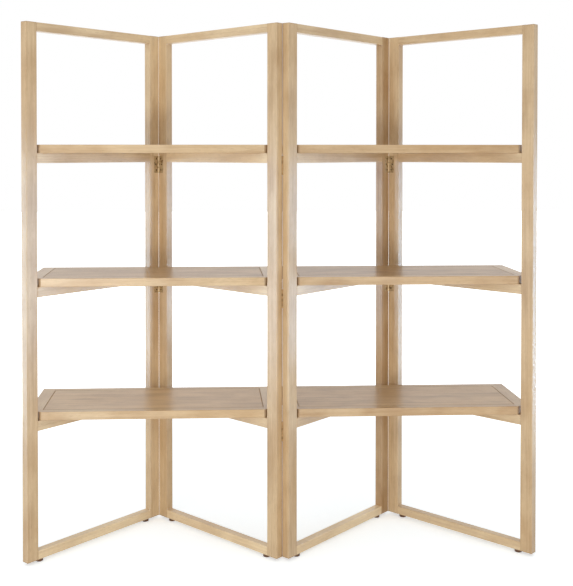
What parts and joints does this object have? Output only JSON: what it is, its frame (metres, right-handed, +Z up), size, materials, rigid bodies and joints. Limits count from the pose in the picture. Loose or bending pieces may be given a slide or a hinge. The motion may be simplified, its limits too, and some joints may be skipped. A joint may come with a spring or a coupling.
{
  "type": "folding bookcase",
  "caption": "Zigzag folding bookcase: timber frames joined by butt hinges, with loose clipped-corner shelves resting in each V on the frames' rails.",
  "frame": {"origin": "on the floor, at the middle of the plan", "axes": "+X along the width, +Y from the front to the back, +Z up"},
  "size_m": [1.7554, 0.4487, 1.829],
  "materials": {
    "frame_wood": "satin lacquer on pale oak",
    "shelf_panel_wood": "satin lacquer on pale oak",
    "shelf_edge_wood": "satin lacquer on pale oak",
    "hinge_brass": "satin brass",
    "screw_brass": "darkened brass",
    "glide": "dark brown moulded"
  },
  "bodies": {
    "left_outer_frame": {"left_outer_back_stile": "frame_wood", "left_outer_front_stile": "frame_wood", "left_outer_bottom_rail": "frame_wood", "left_outer_lower_shelf_rail": "frame_wood", "left_outer_middle_shelf_rail": "frame_wood", "left_outer_upper_shelf_rail": "frame_wood", "left_outer_top_rail": "frame_wood", "left_outer_glides": "glide", "left_hinge_left_outer_leaves": "hinge_brass", "left_hinge_left_outer_screws": "screw_brass", "left_hinge_pins": "hinge_brass"},
    "left_inner_frame": {"left_inner_back_stile": "frame_wood", "left_inner_front_stile": "frame_wood", "left_inner_bottom_rail": "frame_wood", "left_inner_lower_shelf_rail": "frame_wood", "left_inner_middle_shelf_rail": "frame_wood", "left_inner_upper_shelf_rail": "frame_wood", "left_inner_top_rail": "frame_wood", "left_inner_glides": "glide", "left_hinge_left_inner_leaves": "hinge_brass", "left_hinge_left_inner_screws": "screw_brass", "centre_hinge_left_inner_leaves": "hinge_brass", "centre_hinge_left_inner_screws": "screw_brass"},
    "right_inner_frame": {"right_inner_back_stile": "frame_wood", "right_inner_front_stile": "frame_wood", "right_inner_bottom_rail": "frame_wood", "right_inner_lower_shelf_rail": "frame_wood", "right_inner_middle_shelf_rail": "frame_wood", "right_inner_upper_shelf_rail": "frame_wood", "right_inner_top_rail": "frame_wood", "right_inner_glides": "glide", "centre_hinge_right_inner_leaves": "hinge_brass", "centre_hinge_right_inner_screws": "screw_brass", "centre_hinge_pins": "hinge_brass", "right_hinge_right_inner_leaves": "hinge_brass", "right_hinge_right_inner_screws": "screw_brass", "right_hinge_pins": "hinge_brass"},
    "right_outer_frame": {"right_outer_back_stile": "frame_wood", "right_outer_front_stile": "frame_wood", "right_outer_bottom_rail": "frame_wood", "right_outer_lower_shelf_rail": "frame_wood", "right_outer_middle_shelf_rail": "frame_wood", "right_outer_upper_shelf_rail": "frame_wood", "right_outer_top_rail": "frame_wood", "right_outer_glides": "glide", "right_hinge_right_outer_leaves": "hinge_brass", "right_hinge_right_outer_screws": "screw_brass"},
    "left_lower_shelf": {"left_lower_shelf_panel": "shelf_panel_wood", "left_lower_shelf_edging": "shelf_edge_wood"},
    "left_middle_shelf": {"left_middle_shelf_panel": "shelf_panel_wood", "left_middle_shelf_edging": "shelf_edge_wood"},
    "left_upper_shelf": {"left_upper_shelf_panel": "shelf_panel_wood", "left_upper_shelf_edging": "shelf_edge_wood"},
    "right_lower_shelf": {"right_lower_shelf_panel": "shelf_panel_wood", "right_lower_shelf_edging": "shelf_edge_wood"},
    "right_middle_shelf": {"right_middle_shelf_panel": "shelf_panel_wood", "right_middle_shelf_edging": "shelf_edge_wood"},
    "right_upper_shelf": {"right_upper_shelf_panel": "shelf_panel_wood", "right_upper_shelf_edging": "shelf_edge_wood"}
  },
  "joints": [
    {"name": "left_fold", "type": "hinge", "parent": "left_inner_frame", "child": "left_outer_frame", "pos_m": [-0.43929, 0.20521, 0], "axis": [0, 0, 1], "range_deg": [-91.6, 88.4]},
    {"name": "centre_fold", "type": "hinge", "parent": "left_inner_frame", "child": "right_inner_frame", "pos_m": [0, -0.20521, 0], "axis": [0, 0, 1], "range_deg": [-91.6, 4]},
    {"name": "right_fold", "type": "hinge", "parent": "right_inner_frame", "child": "right_outer_frame", "pos_m": [0.43929, 0.20521, 0], "axis": [0, 0, 1], "range_deg": [-88.4, 91.6]},
    {"name": "left_lower_shelf_lift", "type": "slide", "parent": "left_inner_frame", "child": "left_lower_shelf", "axis": [0, 0, 1], "range_m": [0, 0.388]},
    {"name": "left_middle_shelf_lift", "type": "slide", "parent": "left_inner_frame", "child": "left_middle_shelf", "axis": [0, 0, 1], "range_m": [0, 0.388]},
    {"name": "left_upper_shelf_lift", "type": "slide", "parent": "left_inner_frame", "child": "left_upper_shelf", "axis": [0, 0, 1], "range_m": [0, 0.37]},
    {"name": "right_lower_shelf_lift", "type": "slide", "parent": "right_inner_frame", "child": "right_lower_shelf", "axis": [0, 0, 1], "range_m": [0, 0.388]},
    {"name": "right_middle_shelf_lift", "type": "slide", "parent": "right_inner_frame", "child": "right_middle_shelf", "axis": [0, 0, 1], "range_m": [0, 0.388]},
    {"name": "right_upper_shelf_lift", "type": "slide", "parent": "right_inner_frame", "child": "right_upper_shelf", "axis": [0, 0, 1], "range_m": [0, 0.37]}
  ]
}
